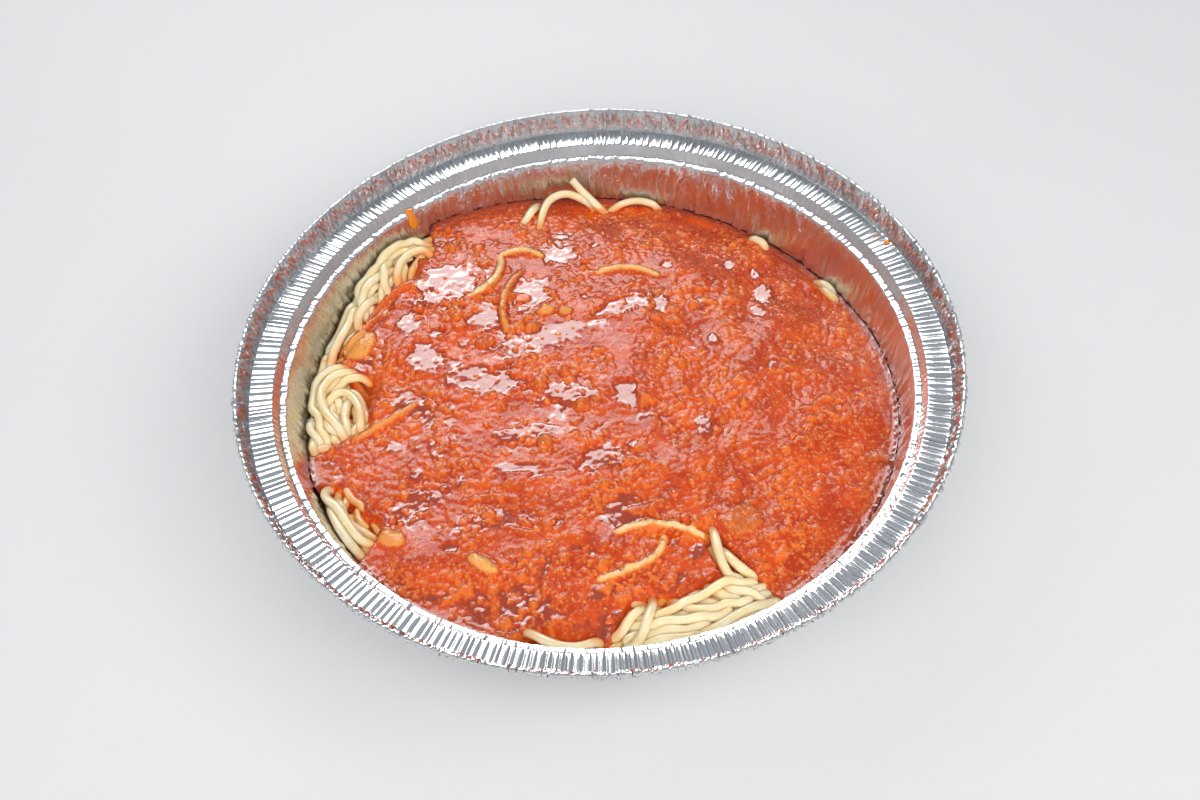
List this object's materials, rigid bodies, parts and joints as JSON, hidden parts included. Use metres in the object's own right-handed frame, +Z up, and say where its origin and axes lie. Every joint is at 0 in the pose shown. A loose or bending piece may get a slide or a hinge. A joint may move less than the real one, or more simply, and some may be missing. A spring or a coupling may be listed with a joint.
{
  "type": "spaghetti with meat sauce",
  "caption": "Cooked spaghetti covered with meat sauce, in a round fluted aluminium foil takeaway pan with a flat bottom and a wide crimped rim, ready to serve or reheat.",
  "frame": {"origin": "middle of the pan's flat bottom, on the surface it rests on", "axes": "+Z up out of the pan; +Y towards the far side in the picture, +X to its right"},
  "size_m": [0.1904, 0.1906, 0.0415],
  "materials": {
    "foil": "bright fluted foil",
    "cooked_spaghetti": "moist, pale yellow",
    "meat_sauce": "wet, orange red with crumbs of meat"
  },
  "bodies": {
    "root": {"foil_pan": "foil", "spaghetti": "cooked_spaghetti", "meat_sauce": "meat_sauce"}
  },
  "joints": []
}
